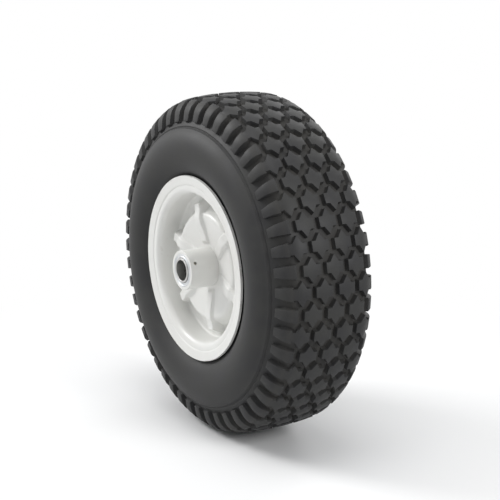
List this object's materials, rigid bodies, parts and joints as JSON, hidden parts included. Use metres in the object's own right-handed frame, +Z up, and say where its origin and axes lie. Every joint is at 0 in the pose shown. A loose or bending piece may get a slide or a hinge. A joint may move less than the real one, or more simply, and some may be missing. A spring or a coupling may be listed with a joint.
{
  "type": "pneumatic wheel",
  "caption": "Pneumatic garden-machine wheel: star-block tread tyre on a welded ribbed steel rim, long roller-bearing hub with grease hole and a tubeless valve at the back.",
  "frame": {"origin": "on the axle line, in the middle plane of the tyre", "axes": "+Y runs along the axle from the hub face shown in the picture to the valve side at the back, +Z is up with the valve at the bottom"},
  "size_m": [0.3308, 0.1248, 0.3302],
  "materials": {
    "tyre_rubber": "moulded black rubber",
    "rim_paint": "off-white powder coat",
    "sleeve_steel": "ground steel tube",
    "ring_zinc": "zinc plated steel",
    "seal_rubber": "black rubber",
    "cage_plastic": "natural moulded polyamide",
    "roller_steel": "ground bearing steel",
    "valve_rubber": "moulded black rubber",
    "valve_brass": "turned brass",
    "cap_plastic": "black moulded plastic"
  },
  "bodies": {
    "axle_side": {"axle_sleeve": "sleeve_steel"},
    "wheel": {"tyre": "tyre_rubber", "rim_front_disc": "rim_paint", "rim_rear_ring": "rim_paint", "hub_tube": "rim_paint", "front_dust_ring": "ring_zinc", "rear_dust_ring": "ring_zinc", "front_seal": "seal_rubber", "rear_seal": "seal_rubber", "valve_grommet": "valve_rubber", "valve_stem": "valve_brass", "valve_core": "valve_brass", "valve_spring": "roller_steel"},
    "roller_set": {"front_roller_cage": "cage_plastic", "rear_roller_cage": "cage_plastic", "front_rollers": "roller_steel", "rear_rollers": "roller_steel", "cage_spacer": "cage_plastic"},
    "pin": {"valve_pin": "roller_steel"},
    "cap": {"valve_cap": "cap_plastic", "cap_gasket": "seal_rubber"}
  },
  "joints": [
    {"name": "wheel_spin", "type": "hinge", "parent": "axle_side", "child": "wheel", "pos_m": [0, 0, 0], "axis": [0, 1, 0], "continuous": true},
    {"name": "roller_spin", "type": "hinge", "parent": "axle_side", "child": "roller_set", "pos_m": [0, 0, 0], "axis": [0, 1, 0], "continuous": true},
    {"name": "valve_pin_press", "type": "slide", "parent": "wheel", "child": "pin", "axis": [0, -0.6063, -0.7952], "range_m": [0, 0.0012], "stiffness_N_per_m": 900, "springref_m": -0.0004, "deforming": ["valve_spring"]},
    {"name": "valve_cap_off", "type": "slide", "parent": "wheel", "child": "cap", "axis": [0, 0.6063, 0.7952], "range_m": [0, 0.014]}
  ],
  "couplings": [
    {"joint": "roller_spin", "follows": "wheel_spin", "ratio": 0.57143}
  ]
}
